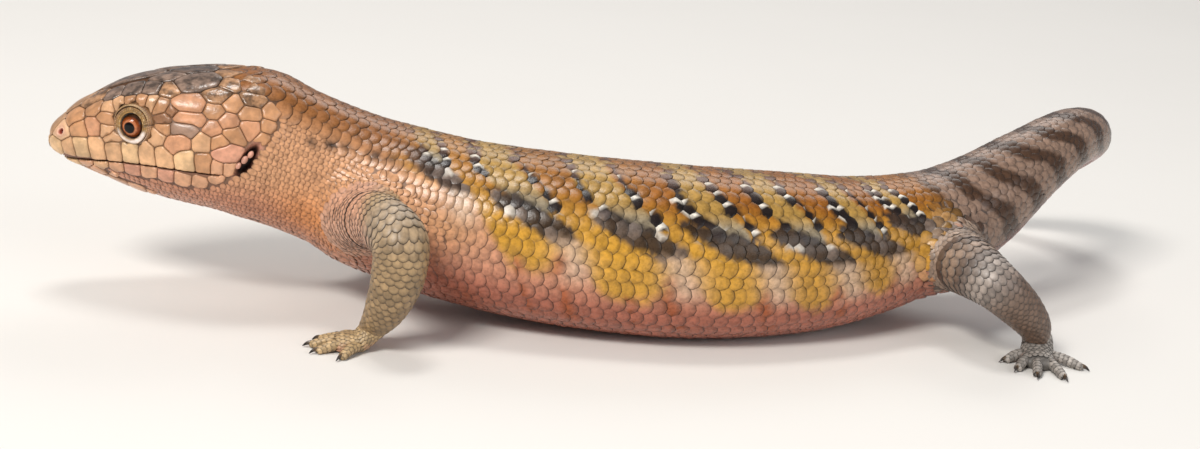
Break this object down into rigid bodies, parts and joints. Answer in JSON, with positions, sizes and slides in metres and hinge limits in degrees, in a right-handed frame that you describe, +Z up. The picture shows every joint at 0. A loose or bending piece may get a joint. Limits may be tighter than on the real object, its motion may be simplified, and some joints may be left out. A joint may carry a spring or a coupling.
{
  "type": "blue tongued skink",
  "caption": "Life-size still model of a young blue tongued skink, resting on its belly with head raised and tail curled up behind.",
  "frame": {"origin": "on the floor, under the middle of the animal's bounding box", "axes": "+Z up, the head points to -X, the animal's left side faces -Y, millimetre source in metres here"},
  "size_m": [0.2142, 0.123, 0.0441],
  "materials": {
    "skin_head": "smooth glossy head shields over tan skin",
    "skin_body": "overlapping smooth scales, golden brown with dark and pale bands",
    "skin_tail": "overlapping smooth scales, dark brown and pale bands",
    "skin_limb": "smooth grey-brown scales with light centres",
    "eye": "wet, clear, dark orange-brown with a black pupil",
    "claw": "dark horn"
  },
  "bodies": {
    "root": {"head": "skin_head", "eye_left": "eye", "eye_right": "eye", "neck": "skin_body", "torso_front": "skin_body", "torso_middle": "skin_body", "torso_rear": "skin_body", "pelvis": "skin_body", "tail_base": "skin_tail", "tail_middle": "skin_tail", "tail_bend": "skin_tail", "tail_tip": "skin_tail", "foreleg_left_upper": "skin_limb", "foreleg_left_lower": "skin_limb", "foreleg_left_foot": "skin_limb", "claw_foreleg_left_1": "claw", "claw_foreleg_left_2": "claw", "claw_foreleg_left_3": "claw", "claw_foreleg_left_4": "claw", "claw_foreleg_left_5": "claw", "foreleg_right_upper": "skin_limb", "foreleg_right_lower": "skin_limb", "foreleg_right_foot": "skin_limb", "claw_foreleg_right_1": "claw", "claw_foreleg_right_2": "claw", "claw_foreleg_right_3": "claw", "claw_foreleg_right_4": "claw", "claw_foreleg_right_5": "claw", "hindleg_left_upper": "skin_limb", "hindleg_left_lower": "skin_limb", "hindleg_left_foot": "skin_limb", "claw_hindleg_left_1": "claw", "claw_hindleg_left_2": "claw", "claw_hindleg_left_3": "claw", "claw_hindleg_left_4": "claw", "claw_hindleg_left_5": "claw", "hindleg_right_upper": "skin_limb", "hindleg_right_lower": "skin_limb", "hindleg_right_foot": "skin_limb", "claw_hindleg_right_1": "claw", "claw_hindleg_right_2": "claw", "claw_hindleg_right_3": "claw", "claw_hindleg_right_4": "claw", "claw_hindleg_right_5": "claw"}
  },
  "joints": []
}
